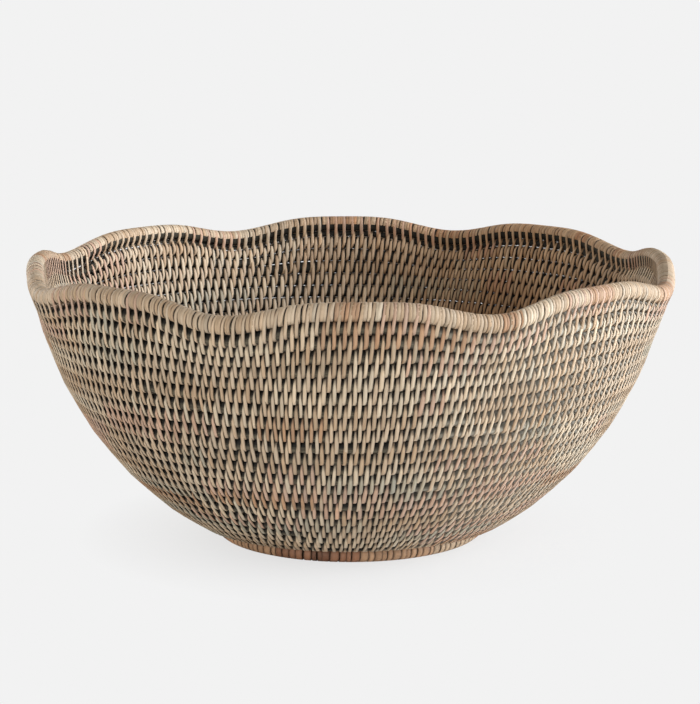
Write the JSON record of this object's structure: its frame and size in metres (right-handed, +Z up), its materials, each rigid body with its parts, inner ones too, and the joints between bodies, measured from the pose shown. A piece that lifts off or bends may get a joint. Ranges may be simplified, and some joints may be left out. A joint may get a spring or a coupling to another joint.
{
  "type": "rattan bowl",
  "caption": "Round coiled rattan bowl with a gently scalloped bound rim and a low bound foot ring, for holding fruit, bread or small things.",
  "frame": {"origin": "centre of the ring that the foot stands on, on the supporting surface", "axes": "+Z up along the bowl's axis; the pictured front, where one of the rim's crests lies, faces -Y; +X to the right seen from the front"},
  "size_m": [0.392, 0.392, 0.173],
  "materials": {
    "cane_core": "matt, fibrous",
    "lashing": "dry satin",
    "rim_binding": "dry satin",
    "foot_binding": "dry satin"
  },
  "bodies": {
    "root": {"base_coil": "cane_core", "base_lashing": "lashing", "wall_coil_01": "cane_core", "wall_lashing_01": "lashing", "wall_coil_02": "cane_core", "wall_lashing_02": "lashing", "wall_coil_03": "cane_core", "wall_lashing_03": "lashing", "wall_coil_04": "cane_core", "wall_lashing_04": "lashing", "wall_coil_05": "cane_core", "wall_lashing_05": "lashing", "wall_coil_06": "cane_core", "wall_lashing_06": "lashing", "wall_coil_07": "cane_core", "wall_lashing_07": "lashing", "wall_coil_08": "cane_core", "wall_lashing_08": "lashing", "wall_coil_09": "cane_core", "wall_lashing_09": "lashing", "wall_coil_10": "cane_core", "wall_lashing_10": "lashing", "wall_coil_11": "cane_core", "wall_lashing_11": "lashing", "wall_coil_12": "cane_core", "wall_lashing_12": "lashing", "wall_coil_13": "cane_core", "wall_lashing_13": "lashing", "wall_coil_14": "cane_core", "wall_lashing_14": "lashing", "wall_coil_15": "cane_core", "wall_lashing_15": "lashing", "wall_coil_16": "cane_core", "wall_lashing_16": "lashing", "wall_coil_17": "cane_core", "wall_lashing_17": "lashing", "wall_coil_18": "cane_core", "wall_lashing_18": "lashing", "wall_coil_19": "cane_core", "wall_lashing_19": "lashing", "wall_coil_20": "cane_core", "wall_lashing_20": "lashing", "wall_coil_21": "cane_core", "wall_lashing_21": "lashing", "wall_coil_22": "cane_core", "wall_lashing_22": "lashing", "wall_coil_23": "cane_core", "wall_lashing_23": "lashing", "wall_coil_24": "cane_core", "wall_lashing_24": "lashing", "rim_lashing": "lashing", "rim_hoop": "cane_core", "rim_binding": "rim_binding", "foot_hoop": "cane_core", "foot_binding": "foot_binding"}
  },
  "joints": []
}
